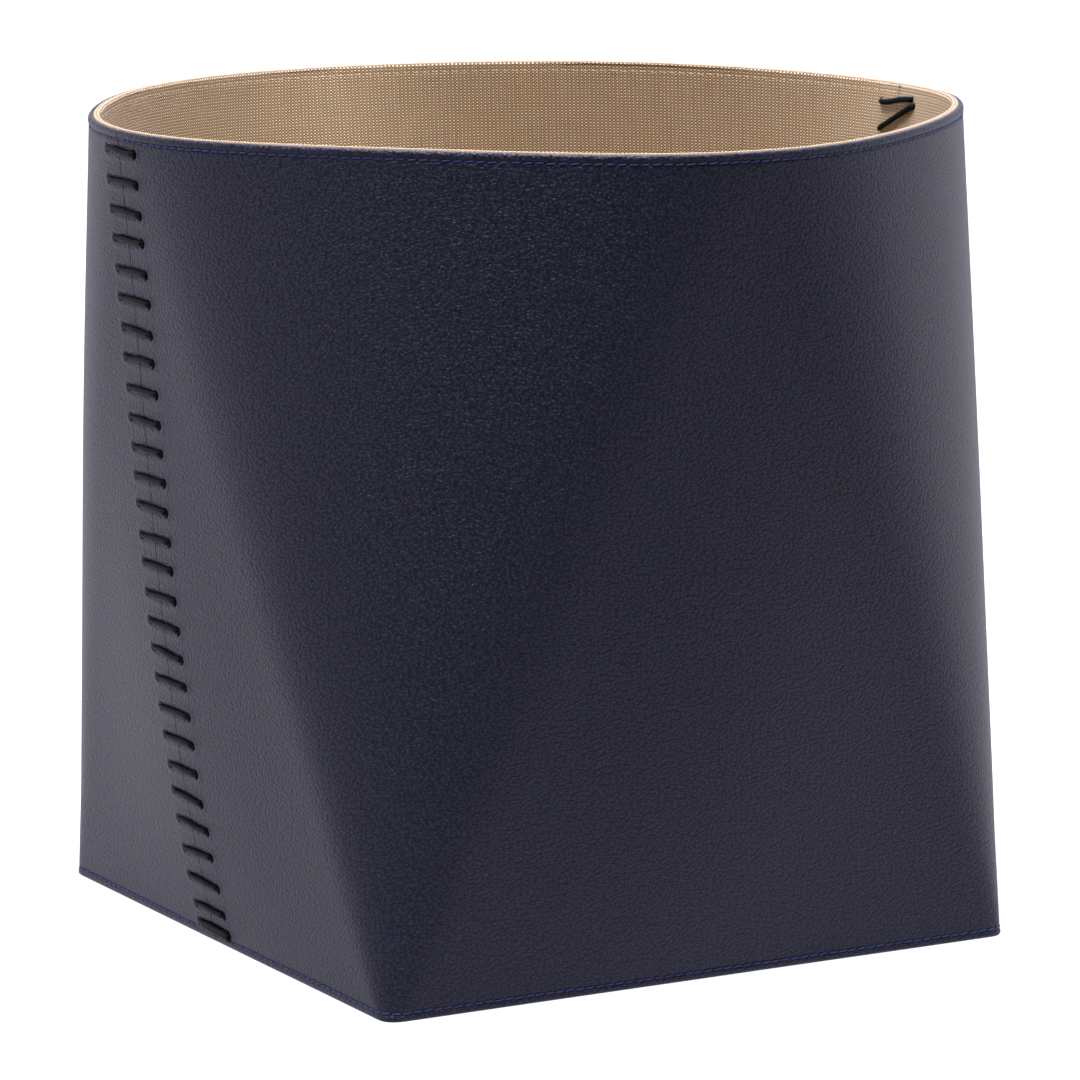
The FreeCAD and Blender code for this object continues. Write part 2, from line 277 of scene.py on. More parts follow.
class Shell:
    """Points and faces of a closed sheet: a detailed face, a plain back and four edges."""

    def __init__(self):
        self.points, self.flats, self.faces, self.count = [], [], [], 0

    def add(self, s, z, lift):
        """Adds a grid of points and gives back their numbers."""
        points = on_wall(s, z, lift).reshape(-1, 3)
        self.points.append(points)
        self.flats.append(np.stack([s.ravel(), z.ravel()], -1))
        ids = np.arange(self.count, self.count + len(points)).reshape(s.shape)
        self.count += len(points)
        return ids

    def quads(self, ids, flip=False):
        a, b, c, d = ids[:-1, :-1], ids[1:, :-1], ids[1:, 1:], ids[:-1, 1:]
        order = (a, d, c, b) if flip else (a, b, c, d)
        self.faces += np.stack(order, -1).reshape(-1, 4).tolist()

    def bridge(self, fine, coarse, marks, flip):
        """Joins a fine column to a coarse one; marks are the coarse rows' places in fine."""
        for k, (low, high) in enumerate(zip(marks, marks[1:])):
            ring = [coarse[k]] + list(fine[low:high + 1]) + [coarse[k + 1]]
            self.faces.append([int(i) for i in (ring[::-1] if flip else ring)])

    def build(self, name):
        points, flats = np.concatenate(self.points), np.concatenate(self.flats)
        return mesh_object(name, points, self.faces, flats)


def row_marks(fine, coarse):
    return [int(np.argmin(np.abs(fine - value))) for value in coarse]


def wall_sheet(name, start, end, low, high, lift_of, back_lift, face_out):
    """A closed sheet on the wall. lift_of gives its detailed face, which faces out or in."""
    columns = panel_columns(start, end)
    coarse, fine = panel_rows(low, high)
    left = columns <= start + STRIP + 1e-6
    right = columns >= end - STRIP - 1e-6
    middle = ~(left | right)
    shell = Shell()

    def surface(cols, rows, lift):
        s, z = np.meshgrid(cols, rows, indexing="ij")
        value = lift(s, z) if callable(lift) else np.full(s.shape, lift)
        return shell.add(s, z, value)

    flip = not face_out
    strip_ids = [surface(columns[left], fine, lift_of), surface(columns[right], fine, lift_of)]
    middle_ids = surface(columns[middle], coarse, lift_of)
    for ids in (*strip_ids, middle_ids):
        shell.quads(ids, flip)
    marks = row_marks(fine, coarse)
    shell.bridge(strip_ids[0][-1], middle_ids[0], marks, not flip)
    shell.bridge(strip_ids[1][0], middle_ids[-1], marks, flip)

    sparse = np.append(coarse[::8], coarse[-1]) if (len(coarse) - 1) % 8 else coarse[::8]
    back_ids = surface(columns, sparse, back_lift)
    shell.quads(back_ids, not flip)
    back_marks = row_marks(fine, sparse)
    shell.bridge(strip_ids[0][0], back_ids[0], back_marks, flip)
    shell.bridge(strip_ids[1][-1], back_ids[-1], back_marks, not flip)
    face_low = np.concatenate([strip_ids[0][:, 0], middle_ids[:, 0], strip_ids[1][:, 0]])
    face_high = np.concatenate([strip_ids[0][:, -1], middle_ids[:, -1], strip_ids[1][:, -1]])
    shell.quads(np.stack([back_ids[:, 0], face_low], -1), flip)
    shell.quads(np.stack([face_high, back_ids[:, -1]], -1), flip)
    return shell.build(name)


# ------------------------------------------------------------------ leather panels
def leather_lift(start, end):
    def lift(s, z):
        seam_side = np.minimum(s - start, end - s)
        top, bottom = HEIGHT - z, z
        value = 0.16 * MM * ripple(s, z, 3) * soft_step(0, 25 * MM, seam_side)
        for stitch_z in (RIM_STITCH, HEM_STITCH):
            value -= 0.42 * MM * bell(z - stitch_z, 0.60 * MM)
        value += 0.30 * MM * bell(top - 1.7 * MM, 1.3 * MM)
        value += 0.22 * MM * bell(bottom - 1.2 * MM, 1.2 * MM)
        for edge in (top - RIM_DROP, bottom):
            value -= 0.42 * MM * (1 - np.sqrt(np.clip(edge / (0.7 * MM), 0, 1)))
        value -= 0.10 * MM * (1 - soft_step(0, 1.1 * MM, seam_side))
        hole, stitch = seam_marks(s, z)
        value -= 0.55 * MM * bell(stitch, 1.6 * MM)
        value += 0.16 * MM * bell(stitch - 2.8 * MM, 1.2 * MM)
        value += 0.12 * MM * bell(hole - 2.3 * MM, 0.8 * MM)
        pit = 1 - soft_step(HOLE_RADIUS - 0.35 * MM, HOLE_RADIUS + 0.25 * MM, hole)
        return value * (1 - pit) - 1.2 * MM * pit

    return lift


def leather_panel(half):
    start, end = HALVES[half]
    start, end = start + LEATHER_GAP / 2, end - LEATHER_GAP / 2
    name = "leather_panel_" + half
    panel = wall_sheet(
        "grained_" + name, start, end, 0.0, HEIGHT - RIM_DROP, leather_lift(start, end),
        -LEATHER, True,
    )
    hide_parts(name)
    return panel


# ------------------------------------------------------------------ boards inside the wall
def board_panel(half):
    """The stiff card between leather and canvas, which swells with them."""
    start, end = HALVES[half]
    start, end = start + BOARD_GAP / 2, end - BOARD_GAP / 2
    name = "wall_board_" + half
    corners = [s for s in (QUARTER * (k + 0.5) for k in range(4)) if start < s < end]
    fine = [steps(corner - 10 * MM, corner + 10 * MM, 1.0 * MM) for corner in corners]
    columns = merged(steps(start, end, 5 * MM), *fine)
    rows = steps(0.0, HEIGHT - LINING - 0.1 * MM, 7.5 * MM)
    s, z = np.meshgrid(columns, rows, indexing="ij")
    shell = Shell()
    outer = shell.add(s, z, np.full(s.shape, -LEATHER - 0.03 * MM))
    inner = shell.add(s, z, np.full(s.shape, -BOARD_BACK + 0.03 * MM))
    shell.quads(outer)
    shell.quads(inner, True)
    ring_outer = np.concatenate([outer[:-1, 0], outer[-1, :-1], outer[:0:-1, -1], outer[0, :0:-1]])
    ring_inner = np.concatenate([inner[:-1, 0], inner[-1, :-1], inner[:0:-1, -1], inner[0, :0:-1]])
    rings = np.stack([ring_inner, ring_outer], 0)
    shell.quads(np.concatenate([rings, rings[:, :1]], 1), True)
    board = shell.build("card_" + name)
    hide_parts(name)
    return board


# ------------------------------------------------------------------ canvas lining
def lining_lift(start, end):
    def lift(s, z):
        seam_side = np.minimum(s - start, end - s)
        value = 0.10 * MM * ripple(s, z, 5)
        value += 0.05 * MM * bell(z - RIM_STITCH, 0.7 * MM)
        value += 0.25 * MM * (1 - np.sqrt(np.clip(seam_side / (0.8 * MM), 0, 1)))
        hole, _ = seam_marks(s, z)
        pit = 1 - soft_step(HOLE_RADIUS - 0.3 * MM, HOLE_RADIUS + 0.3 * MM, hole)
        return -WALL + value + 0.5 * MM * pit

    return lift


def lining_panel(half):
    """The canvas inside the wall, with its turned-over top edge as a second closed sheet."""
    start, end = HALVES[half]
    start, end = start + LINING_GAP / 2, end - LINING_GAP / 2
    name = "lining_" + half
    body = wall_sheet(
        "canvas_" + name, start, end, 0.0, HEIGHT - LINING, lining_lift(start, end),
        -BOARD_BACK - 0.02 * MM, False,
    )
    add_turned_edge(body, start, end)
    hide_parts(name)
    return body


def add_turned_edge(body, start, end):
    """The roll of canvas over the board's top edge, joined to the lining."""
    columns = steps(start, end, 1.6 * MM)
    mid_lift = -(LEATHER + WALL) / 2
    half_width = (WALL - LEATHER) / 2
    profile = []
    for angle in np.linspace(0, math.pi, 9):
        rise = math.sin(angle) ** 0.55
        height = HEIGHT - 0.75 * MM + 1.0 * MM * rise
        profile.append((mid_lift + half_width * math.cos(angle), height))
    profile.append((mid_lift - half_width + 0.02 * MM, HEIGHT - LINING - 0.6 * MM))
    profile.append((mid_lift - half_width + 0.5 * MM, HEIGHT - LINING - 0.6 * MM))
    profile.append((mid_lift + half_width, HEIGHT - LINING - 0.02 * MM))
    lifts, heights = np.array(profile).T
    s, lift = np.meshgrid(columns, lifts, indexing="ij")
    height = np.broadcast_to(heights, s.shape)
    waver = 0.10 * MM * ripple(s * 6, height, 11)
    length = np.concatenate([[0], np.cumsum(np.hypot(np.diff(lifts), np.diff(heights)))])
    shell = Shell()
    ids = shell.add(s, height + waver, lift)
    shell.flats[-1][:, 1] = np.broadcast_to(HEIGHT + length[::-1], s.shape).ravel()
    closed = np.concatenate([ids, ids[:, :1]], 1)
    shell.quads(closed)
    shell.faces.append(ids[0].tolist())
    shell.faces.append(ids[-1][::-1].tolist())
    edge = shell.build(body.name + "_turn")
    with bpy.context.temp_override(
        active_object=body, object=body, selected_editable_objects=[body, edge]
    ):
        bpy.ops.object.join()


# ------------------------------------------------------------------ round cords
def tube(name, path, sides, width, depth, upright):
    """A closed tube along path; upright is the direction across it that lies in the wall."""
    path = np.asarray(path)
    along = np.gradient(path, axis=0)
    along /= np.linalg.norm(along, axis=1)[:, None]
    across = upright - (upright * along).sum(1)[:, None] * along
    across /= np.linalg.norm(across, axis=1)[:, None]
    out = np.cross(along, across)
    angles = np.arange(sides) * 2 * math.pi / sides
    width, depth = np.broadcast_to(width, len(path)), np.broadcast_to(depth, len(path))
    rings = (
        path[:, None]
        + across[:, None] * np.cos(angles)[None, :, None] * width[:, None, None] / 2
        + out[:, None] * np.sin(angles)[None, :, None] * depth[:, None, None] / 2
    )
    count = len(path)
    ids = np.arange(count * sides).reshape(count, sides)
    closed = np.concatenate([ids, ids[:, :1]], 1)
    quads = np.stack([closed[:-1, :-1], closed[:-1, 1:], closed[1:, 1:], closed[1:, :-1]], -1)
    faces = quads.reshape(-1, 4).tolist()
    faces += [ids[0][::-1].tolist(), ids[-1].tolist()]
    length = np.concatenate([[0], np.cumsum(np.linalg.norm(np.diff(path, axis=0), axis=1))])
    girth = np.tile(angles / 2 * np.mean(width), count)
    flats = np.stack([np.repeat(length, sides), girth], -1)
    return mesh_object(name, rings.reshape(-1, 3), faces, flats)


def smooth_path(values, rounds):
    values = np.array(values)
    for _ in range(rounds):
        values[1:-1] = (values[:-2] + 2 * values[1:-1] + values[2:]) / 4
    return values


def lace_plan_path(seam):
    """The lace's centre line as (offset from the seam, height, lift, share of full width)."""
    rear, fore, sway = seam["plan"]
    inner = -WALL - LACE_DEPTH / 2 - 0.15 * MM
    outer = LACE_DEPTH / 2 - 0.55 * MM
    points = []

    def run(start, end, lift, samples, bow=0.0, sag=0.0, narrow=1.0):
        for share in np.linspace(0, 1, samples)[1:-1]:
            place = start + (end - start) * share
            height = place[1] + bow * math.sin(2 * math.pi * share)
            width = narrow + (1 - narrow) * soft_step(0, 0.5, share)
            points.append((place[0], height, lift + sag * math.sin(math.pi * share), width))

    def through(place, start, end, width=1.0):
        for share in np.linspace(0, 1, 7):
            points.append((place[0], place[1], start + (end - start) * share, width))

    tail = fore[0] + np.array([-1.0 * MM, 2.6 * MM])
    through(tail, -BOARD_BACK, inner)
    run(tail, rear[0], inner, 22, bow=0.3 * MM, sag=-0.3 * MM)
    for index in range(LACE_COUNT):
        through(rear[index], inner, outer, REAR_NARROWING)
        run(rear[index], fore[index], outer, 26, sway[index], 0.22 * MM, REAR_NARROWING)
        through(fore[index], outer, inner)
        if index < LACE_COUNT - 1:
            run(fore[index], rear[index + 1], inner, 22, sag=-0.35 * MM)
    second_rear = rear[-1] + np.array([0.5 * MM, -0.7 * MM])
    second_fore = fore[-1] + np.array([0.6 * MM, -1.9 * MM])
    run(fore[-1], second_rear, inner - LACE_DEPTH * 0.6, 16)
    through(second_rear, inner, outer)
    run(second_rear, second_fore, outer, 26, bow=-0.2 * MM, sag=0.25 * MM)
    through(second_fore, outer, -BOARD_BACK)
    return smooth_path(points, 3)


def lace(side):
    seam = SEAMS[side]
    plan = lace_plan_path(seam)
    s = seam["s"] + seam["sign"] * plan[:, 0]
    path = on_wall(s, plan[:, 1], plan[:, 2])
    above = on_wall(s, plan[:, 1] + MM, plan[:, 2])
    upright = (above - path) / np.linalg.norm(above - path, axis=1)[:, None]
    draw = np.random.default_rng(31)
    swell = 1 + 0.035 * smooth_path(draw.normal(0, 1, len(path)), 6)
    name = "seam_lace_" + side
    width = LACE_WIDTH * swell * plan[:, 3]
    cord = tube("round_" + name, path, 14, width, LACE_DEPTH * swell, upright)
    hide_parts(name)
    return cord


# ------------------------------------------------------------------ machine stitching
def stitch_row(name, start, end, z, face_lift, outward, radius, seed):
    """A lockstitch thread: it lies on its face for most of each stitch and dips at holes."""
    draw = np.random.default_rng(seed)
    count = int((end - start) // STITCH_PITCH)
    pitch = (end - start) / count
    samples = 12
    share = np.linspace(0, 1, samples, endpoint=False)
    rise = soft_step(0.20, 0.60, np.sin(math.pi * share))
    s = (start + (np.arange(count)[:, None] + share) * pitch).ravel()
    lift = np.tile(radius * (2.3 * rise - 1.9), count)
    heights = z + np.repeat(draw.normal(0, 0.05 * MM, count), samples)
    slant = np.tile((share - 0.5) * 0.35 * MM, count)
    s, lift = np.append(s, end), np.append(lift, lift[0])
    heights = np.append(heights + slant, z)
    path = on_wall(s, heights, face_lift + outward * lift)
    upright = np.broadcast_to(np.array([0.0, 0.0, 1.0]), path.shape)
    return tube(name, path, 8, 2 * radius, 2 * radius, upright)


def stitching(half):
    """The four threads of one half of the wall, each with the name of its slot."""
    start, end = HALVES[half]
    start, end = start + 1.6 * MM, end - 1.6 * MM
    threads = []
    for row, z in (("rim", RIM_STITCH), ("hem", HEM_STITCH)):
        node = f"{row}_stitching_{half}"
        outer = stitch_row("thread_" + node, start, end, z, -0.30 * MM, 1, THREAD_RADIUS, 41)
        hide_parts(node)
        bobbin_node = f"{row}_bobbin_thread_{half}"
        inner = stitch_row(
            "thread_" + bobbin_node, start, end, z, -WALL + 0.24 * MM, -1, BOBBIN_RADIUS, 43
        )
        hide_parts(bobbin_node)
        threads += [(outer, "blue_thread"), (inner, "beige_thread")]
    return threads


# ------------------------------------------------------------------ the base
def base_sheet(node, name, spacing, swell, edge):
    """A rounded square pad with soft edges, in place of the CAD node of that size."""
    low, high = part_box(node)
    half = high.x
    corner = 4 * MM
    thick = high.z - low.z
    count = int(2 * half / spacing)
    grid = np.linspace(-1, 1, count + 1)
    u, v = np.meshgrid(grid, grid, indexing="ij")
    border = np.maximum(np.abs(u), np.abs(v))
    x, y = u * half, v * half
    over_x = np.clip(np.abs(x) - (half - corner), 0, None)
    over_y = np.clip(np.abs(y) - (half - corner), 0, None)
    reach = np.hypot(over_x, over_y)
    longest = np.maximum(over_x, over_y)
    pull = np.where(reach > 0, longest / np.maximum(reach, 1e-9), 1)
    both = (over_x > 0) & (over_y > 0)
    x = np.where(both, np.sign(x) * (half - corner + over_x * pull), x)
    y = np.where(both, np.sign(y) * (half - corner + over_y * pull), y)
    inward = (1 - border) * half
    round_off = edge * (1 - np.sqrt(np.clip(inward / (1.2 * MM), 0, 1)))
    wave = swell * ripple(x * 3, y, 23)
    sides = []
    for level, sign in ((low.z, -1), (high.z, 1)):
        z = level - sign * round_off + (sign > 0) * wave
        z = np.clip(z, low.z, high.z + swell)
        sides.append(np.stack([x, y, z], -1).reshape(-1, 3))
    ids = np.arange(u.size).reshape(u.shape)
    a, b, c, d = ids[:-1, :-1], ids[1:, :-1], ids[1:, 1:], ids[:-1, 1:]
    faces = np.stack((a, d, c, b), -1).reshape(-1, 4).tolist()
    faces += (np.stack((a, b, c, d), -1) + u.size).reshape(-1, 4).tolist()
    rim = np.concatenate([ids[:-1, 0], ids[-1, :-1], ids[:0:-1, -1], ids[0, :0:-1]])
    following = np.roll(rim, -1)
    faces += np.stack((rim, following, following + u.size, rim + u.size), -1).tolist()
    flats = np.stack([x.ravel(), y.ravel()], -1)
    pad = mesh_object(name, np.concatenate(sides), faces, np.concatenate([flats, flats]))
    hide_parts(node)
    return pad


# ------------------------------------------------------------------ materials
class Nodes:
    """Short ways to add and join shader nodes in one material."""

    def __init__(self, name):
        self.material = bpy.data.materials.new(name)
        self.material.use_nodes = True
        self.tree = self.material.node_tree
        self.shader = self.tree.nodes["Principled BSDF"]

    def add(self, kind, **settings):
        node = self.tree.nodes.new(kind)
        for key, value in settings.items():
            setattr(node, key, value)
        return node

    def link(self, source, target):
        self.tree.links.new(source, target)

    def feed(self, socket, value):
        if isinstance(value, bpy.types.NodeSocket):
            self.link(value, socket)
        else:
            socket.default_value = value

    def math(self, operation, first, second=0.0, third=0.0):
        node = self.add("ShaderNodeMath", operation=operation)
        for socket, value in zip(node.inputs, (first, second, third)):
            self.feed(socket, value)
        return node.outputs[0]

    def flat(self):
        """The place in the flat pattern, in millimetres, as a vector."""
        uv = self.add("ShaderNodeUVMap", uv_map="flat")
        scale = self.add("ShaderNodeVectorMath", operation="SCALE")
        self.link(uv.outputs[0], scale.inputs[0])
        scale.inputs["Scale"].default_value = 1000.0
        return scale.outputs[0]

    def stretch(self, vector, x, y, z=1.0):
        node = self.add("ShaderNodeVectorMath", operation="MULTIPLY")
        self.link(vector, node.inputs[0])
        node.inputs[1].default_value = (x, y, z)
        return node.outputs[0]

    def noise(self, vector, scale, detail=3.0, roughness=0.5):
        node = self.add("ShaderNodeTexNoise")
        self.link(vector, node.inputs["Vector"])
        node.inputs["Scale"].default_value = scale
        node.inputs["Detail"].default_value = detail
        node.inputs["Roughness"].default_value = roughness
        return node.outputs["Fac"]

    def cells(self, vector, scale, smoothness):
        """Distance from the middle of rounded cells spread over the flat pattern."""
        node = self.add("ShaderNodeTexVoronoi", feature="SMOOTH_F1", voronoi_dimensions="2D")
        self.link(vector, node.inputs["Vector"])
        node.inputs["Scale"].default_value = scale
        node.inputs["Smoothness"].default_value = smoothness
        return node.outputs["Distance"]

    def wander(self, vector, scale, reach):
        """The same place pushed sideways by slow noise, so no pattern stays regular."""
        warp = self.add("ShaderNodeTexNoise")
        self.link(vector, warp.inputs["Vector"])
        warp.inputs["Scale"].default_value = scale
        offset = self.add("ShaderNodeVectorMath", operation="MULTIPLY_ADD")
        self.link(warp.outputs["Color"], offset.inputs[0])
        offset.inputs[1].default_value = (reach, reach, 0.0)
        self.link(vector, offset.inputs[2])
        return offset.outputs[0]

    def distance_from(self, flat, height):
        """Millimetres above or below a height, in metres, in the flat pattern."""
        parts = self.add("ShaderNodeSeparateXYZ")
        self.link(flat, parts.inputs[0])
        return self.math("ABSOLUTE", self.math("SUBTRACT", parts.outputs[1], height / MM))

    def clamped(self, value):
        return self.math("MINIMUM", self.math("MAXIMUM", value, 0.0), 1.0)

    def ramp(self, value, stops):
        node = self.add("ShaderNodeValToRGB")
        self.link(value, node.inputs[0])
        elements = node.color_ramp.elements
        while len(elements) < len(stops):
            elements.new(0.5)
        for element, (position, colour) in zip(elements, stops):
            element.position = position
            element.color = (*colour, 1)
        return node.outputs[0]

    def mix(self, share, first, second, blend="MIX"):
        node = self.add("ShaderNodeMix", data_type="RGBA", blend_type=blend)
        self.feed(node.inputs[0], share)
        for socket, value in ((node.inputs[6], first), (node.inputs[7], second)):
            self.feed(socket, (*value, 1) if isinstance(value, tuple) else value)
        return node.outputs[2]

    def bump(self, height, distance, strength):
        node = self.add("ShaderNodeBump")
        node.inputs["Strength"].default_value = strength
        node.inputs["Distance"].default_value = distance
        self.link(height, node.inputs["Height"])
        return node.outputs[0]

    def finish(self, colour, roughness, normal, **constants):
        self.feed(self.shader.inputs["Base Color"], colour)
        self.feed(self.shader.inputs["Roughness"], roughness)
        if normal is not None:
            self.link(normal, self.shader.inputs["Normal"])
        for key, value in constants.items():
            self.shader.inputs[key.replace("_", " ")].default_value = value
        return self.material


LEATHER_PEBBLE = (0.0180, 0.0200, 0.0720)
# The crease colour is painted shade, darker between the pebbles and in the pores.
LEATHER_CREASE_SHADE = (0.0008, 0.0012, 0.0110)
LEATHER_WORN = (0.0150, 0.0155, 0.0420)


def leather_material():
    """Navy pebbled leather: low rounded pebbles, wider than high, with painted shade in the
    creases.
    """
    m = Nodes("navy_leather")
    flat = m.flat()
    place = m.stretch(m.wander(flat, 0.45, 1.2), 0.72, 1.0)
    pebble = m.cells(place, 0.92, 0.35)
    pore = m.cells(place, 2.4, 0.5)
    swell = m.noise(place, 0.75, 3.0, 0.6)
    height = m.math("MULTIPLY_ADD", pebble, -1.0, 1.0)
    height = m.math("MULTIPLY_ADD", pore, -0.5, height)
    height = m.math("MULTIPLY_ADD", swell, 0.9, height)
    # Painted shade: the creases between the pebbles and the pores are coloured darker.
    crease_shade = m.math("MULTIPLY_ADD", swell, -0.4, pebble)
    crease_shade = m.math("MULTIPLY_ADD", pore, 0.45, crease_shade)
    slow = m.noise(flat, 0.03, 3.0)
    colour = m.ramp(crease_shade, [(0.08, LEATHER_PEBBLE), (0.36, LEATHER_CREASE_SHADE)])
    colour = m.mix(m.math("MULTIPLY", slow, 0.2), colour, LEATHER_WORN)
    # Painted shade: the leather is darkened along the two stitch rows, in their grooves.
    row = m.math("MINIMUM", m.distance_from(flat, RIM_STITCH), m.distance_from(flat, HEM_STITCH))
    shade = m.ramp(row, [(0.25, (0.35, 0.35, 0.40)), (0.75, (1.0, 1.0, 1.0))])
    colour = m.mix(1.0, colour, shade, "MULTIPLY")
    roughness = m.math("MULTIPLY_ADD", swell, 0.10, 0.41)
    normal = m.bump(height, 0.00030, 1.0)
    return m.finish(colour, roughness, normal, Specular_IOR_Level=0.31)


WARP_SPACING, WEFT_SPACING = 0.81, 0.58        # millimetres between neighbouring yarns


def canvas_material():
    """Plain-weave linen: pale weft over brown warp, in uneven yarns, with dark gaps between.

    Every second row of the weave is darkened by painted shade, which shows as fine ribs. The
    turned-over edge is a little darker and greyer than the rest, as painted shade.
    """
    m = Nodes("linen_canvas")
    flat = m.flat()
    parts = m.add("ShaderNodeSeparateXYZ")
    m.link(m.wander(flat, 0.25, 0.55), parts.inputs[0])
    u = m.math("SINE", m.math("MULTIPLY", parts.outputs[0], math.pi / WARP_SPACING))
    v = m.math("SINE", m.math("MULTIPLY", parts.outputs[1], math.pi / WEFT_SPACING))
    knot = m.math("MULTIPLY", u, v)
    weft_up = m.math("MULTIPLY_ADD", knot, 4.0, 0.5)
    size = m.math("POWER", m.math("ABSOLUTE", knot), 0.5)
    weft_tone = m.noise(m.stretch(flat, 0.05, 1.45), 1.0, 3.0)
    warp_tone = m.noise(m.stretch(flat, 1.3, 0.05), 1.0, 3.0)
    weft = m.ramp(weft_tone, [(0.30, (1.0, 0.76, 0.49)), (0.70, (1.0, 0.94, 0.73))])
    warp = m.ramp(warp_tone, [(0.30, (0.13, 0.050, 0.014)), (0.70, (0.40, 0.20, 0.085))])
    yarn = m.mix(m.clamped(weft_up), warp, weft)
    # Painted shade: every second weft row is darkened, which shows as fine ribs.
    second = m.math("MULTIPLY_ADD", v, 0.5, 0.5)
    shade = m.ramp(second, [(0.15, (0.50, 0.43, 0.36)), (0.80, (1.0, 1.0, 1.0))])
    yarn = m.mix(1.0, yarn, shade, "MULTIPLY")
    fibre = m.noise(m.stretch(flat, 3.0, 3.0), 1.6, 2.0)
    yarn = m.mix(m.math("MULTIPLY", fibre, 0.16), yarn, (0.80, 0.66, 0.50))
    full = m.math("SMOOTH_MIN", m.math("MULTIPLY", size, 1.6), 1.0, 0.2)
    colour = m.mix(full, (0.07, 0.030, 0.011), yarn)
    # Painted shade: the turned-over edge above the rim is darkened and greyed a little.
    above = m.math("SUBTRACT", parts.outputs[1], HEIGHT / MM - 0.5)
    turned = m.ramp(m.clamped(above), [(0.0, (1.0, 1.0, 1.0)), (1.0, (0.74, 0.72, 0.76))])
    colour = m.mix(1.0, colour, turned, "MULTIPLY")
    height = m.math("MULTIPLY_ADD", weft_tone, 0.4, size)
    normal = m.bump(height, 0.00022, 0.8)
    return m.finish(
        colour, 0.88, normal, Specular_IOR_Level=0.25, Sheen_Weight=0.12, Sheen_Roughness=0.6
    )


# Each pair gives a cord's colour in the grooves between its strands, darkened there as painted
# shade, and its colour on its strands.
THREAD_BLUE = ((0.010, 0.014, 0.06), (0.040, 0.066, 0.27))
THREAD_BEIGE = ((0.50, 0.36, 0.23), (0.88, 0.72, 0.54))
WAXED_BLACK = ((0.001, 0.0016, 0.002), (0.007, 0.010, 0.011))


def cord_material(name, colours, twist, pitch, depth, roughness, shine=0.45):
    """A twisted or waxed cord: slanting strands round it and fine fibres along it."""
    dark, light = colours
    m = Nodes(name)
    parts = m.add("ShaderNodeSeparateXYZ")
    m.link(m.flat(), parts.inputs[0])
    slant = m.math("MULTIPLY_ADD", parts.outputs[1], twist, parts.outputs[0])
    strand = m.math("SINE", m.math("MULTIPLY", slant, 2 * math.pi / pitch))
    strand = m.math("MULTIPLY_ADD", strand, 0.5, 0.5)
    fibre = m.noise(m.stretch(m.flat(), 1.2, 4.0), 1.5, 4.0)
    height = m.math("MULTIPLY_ADD", fibre, 0.6, strand)
    share = m.math("MULTIPLY", height, 0.65)
    # Painted shade: the cord is darker in the grooves between its strands.
    colour = m.ramp(share, [(0.15, dark), (0.95, light)])
    normal = m.bump(height, depth, 0.7)
    return m.finish(colour, roughness, normal, Specular_IOR_Level=shine)


def card_material():
    m = Nodes("grey_board")
    place = m.add("ShaderNodeTexCoord").outputs["Object"]
    speck = m.noise(place, 900.0, 5.0, 0.7)
    blotch = m.noise(place, 60.0, 3.0)
    colour = m.ramp(speck, [(0.3, (0.16, 0.135, 0.11)), (0.7, (0.36, 0.32, 0.27))])
    colour = m.mix(m.math("MULTIPLY", blotch, 0.4), colour, (0.30, 0.26, 0.21))
    return m.finish(colour, 0.9, m.bump(speck, 0.0001, 0.5), Specular_IOR_Level=0.2)


# ------------------------------------------------------------------ stage
DIM_SIDE = math.radians(-18)             # the dim side of the room, measured from -Y
DIM_DIRECTION = (math.sin(DIM_SIDE), -math.cos(DIM_SIDE), 0.0)
GLOW_COLOUR = (1.0, 0.97, 1.08, 1)

# How far towards the dim side the fall in brightness starts and ends, then its two levels.
SPREAD_SOCKETS = ("From Min", "From Max", "To Min", "To Max")
WORLD_SPREAD = (-0.5, 1.0, 0.98, 0.0)
FLOOR_SPREAD = (-0.3, 1.0, 1.18, 0.03)


def area_light(name, place, size, power):
    """A square lamp that points at the origin."""
    data = bpy.data.lights.new(name, "AREA")
    data.shape = "RECTANGLE"
    data.size = data.size_y = size
    data.energy = power
    lamp = bpy.data.objects.new(name, data)
    lamp.location = place
    lamp.rotation_mode = "QUATERNION"
    lamp.rotation_quaternion = (-Vector(place)).to_track_quat("-Z", "Y")
    bpy.context.scene.collection.objects.link(lamp)


def dim_towards_front(tree, place, spread):
    """Brightness that falls towards the dim side, from a place or direction socket."""
    facing = tree.nodes.new("ShaderNodeVectorMath")
    facing.operation = "DOT_PRODUCT"
    facing.inputs[1].default_value = DIM_DIRECTION
    tree.links.new(place, facing.inputs[0])
    level = tree.nodes.new("ShaderNodeMapRange")
    level.interpolation_type = "SMOOTHSTEP"
    tree.links.new(facing.outputs["Value"], level.inputs["Value"])
    for socket, value in zip(SPREAD_SOCKETS, spread):
        level.inputs[socket].default_value = value
    return level.outputs["Result"]


def stage():
    """The pale floor, the room and the lamp."""
    half = 6.0
    corners = [(-half, -half, 0), (half, -half, 0), (half, half, 0), (-half, half, 0)]
    floor = mesh_object("floor", corners, [[0, 1, 2, 3]])
    m = Nodes("pale_floor")
    place = m.add("ShaderNodeTexCoord").outputs["Object"]
    tone = m.noise(place, 2.0)
    colour = m.ramp(tone, [(0.0, (0.09, 0.09, 0.09)), (1.0, (0.11, 0.11, 0.11))])
    m.finish(colour, 0.8, None, Specular_IOR_Level=0.2)
    # The floor is dark grey and glows: evenly white to the camera, and towards the bin bright
    # behind it and dim in front, which lights the bin.
    m.shader.inputs["Emission Color"].default_value = GLOW_COLOUR
    glow = dim_towards_front(m.tree, place, FLOOR_SPREAD)
    seen = m.add("ShaderNodeLightPath").outputs["Is Camera Ray"]
    m.link(m.math("MAXIMUM", glow, seen), m.shader.inputs["Emission Strength"])
    floor.data.materials.append(m.material)

    studio_world()
    area_light("soft_top", (0.0, -0.05, 1.9), 1.45, 103)


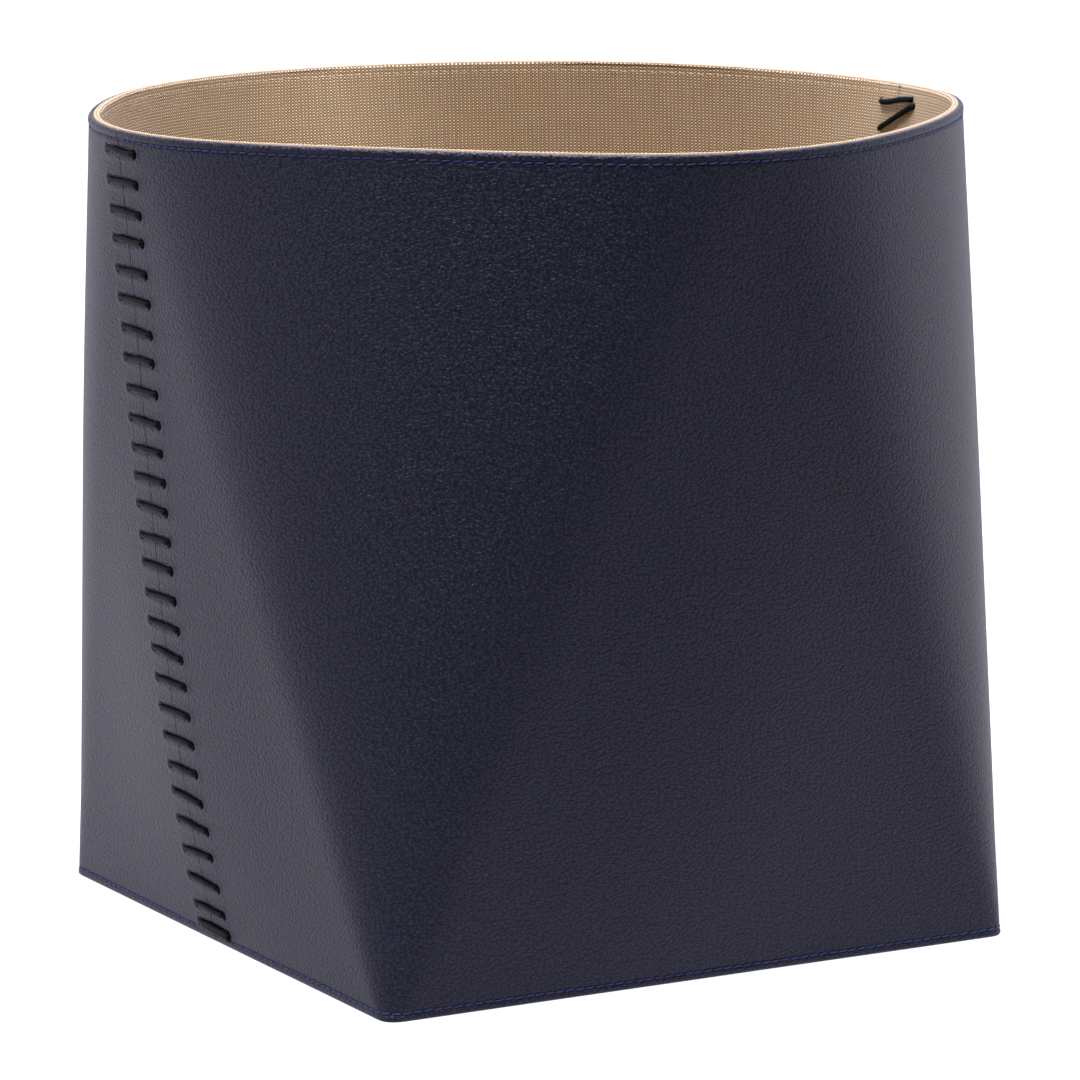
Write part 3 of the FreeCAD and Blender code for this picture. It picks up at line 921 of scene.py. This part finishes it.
def studio_world():
    """A pale room that is bright behind the object and dim in front of it."""
    world = bpy.data.worlds.new("studio")
    world.use_nodes = True
    tree = world.node_tree
    direction = tree.nodes.new("ShaderNodeTexCoord").outputs["Generated"]
    seen = tree.nodes.new("ShaderNodeMix")
    seen.data_type = "FLOAT"
    camera_ray = tree.nodes.new("ShaderNodeLightPath").outputs["Is Camera Ray"]
    tree.links.new(camera_ray, seen.inputs[0])
    tree.links.new(dim_towards_front(tree, direction, WORLD_SPREAD), seen.inputs[2])
    seen.inputs[3].default_value = 1.0
    background = tree.nodes["Background"]
    background.inputs["Color"].default_value = GLOW_COLOUR
    tree.links.new(seen.outputs[0], background.inputs["Strength"])
    bpy.context.scene.world = world


def camera():
    """A long lens, turned 29 degrees from the front and 10 degrees above the level."""
    data = bpy.data.cameras.new("camera")
    data.lens = 194.7
    data.sensor_width = 36.0
    data.clip_start, data.clip_end = 0.1, 50
    item = bpy.data.objects.new("camera", data)
    item.location = (-1.03909, -1.85814, 0.52704)
    item.rotation_euler = (math.pi / 2 - 0.18068, 0, -0.51168)
    bpy.context.scene.collection.objects.link(item)
    bpy.context.scene.camera = item


# ------------------------------------------------------------------ assembly
def main():
    leather = leather_material()
    canvas = canvas_material()
    threads = {
        name: cord_material(name, colours, 1.4, pitch, depth, roughness)
        for name, colours, pitch, depth, roughness in (
            ("blue_thread", THREAD_BLUE, 0.55, 0.00008, 0.6),
            ("beige_thread", THREAD_BEIGE, 0.5, 0.00006, 0.7),
        )
    }
    waxed = cord_material("waxed_lace", WAXED_BLACK, 0.0, 1.9, 0.00006, 0.5, 0.06)
    card = card_material()

    bpy.context.scene.view_settings.view_transform = "Standard"
    camera()
    made = []
    for half in HALVES:
        made.append((leather_panel(half), leather))
        made.append((board_panel(half), card))
        made.append((lining_panel(half), canvas))
        made += [(thread, threads[slot]) for thread, slot in stitching(half)]
    for side in SEAMS:
        made.append((lace(side), waxed))
    underside = base_sheet("base_leather", "grained_base_leather", 4 * MM, 0.0, 0.3 * MM)
    made.append((underside, leather))
    floor_cloth = base_sheet("base_lining", "canvas_base_lining", 4 * MM, 0.15 * MM, 0.15 * MM)
    made.append((floor_cloth, canvas))

    for piece, material in made:
        piece.data.materials.clear()
        piece.data.materials.append(material)
        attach(piece, "root")
    base_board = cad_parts["base_board"]
    base_board.data.materials.clear()
    base_board.data.materials.append(card)
    stage()


main()
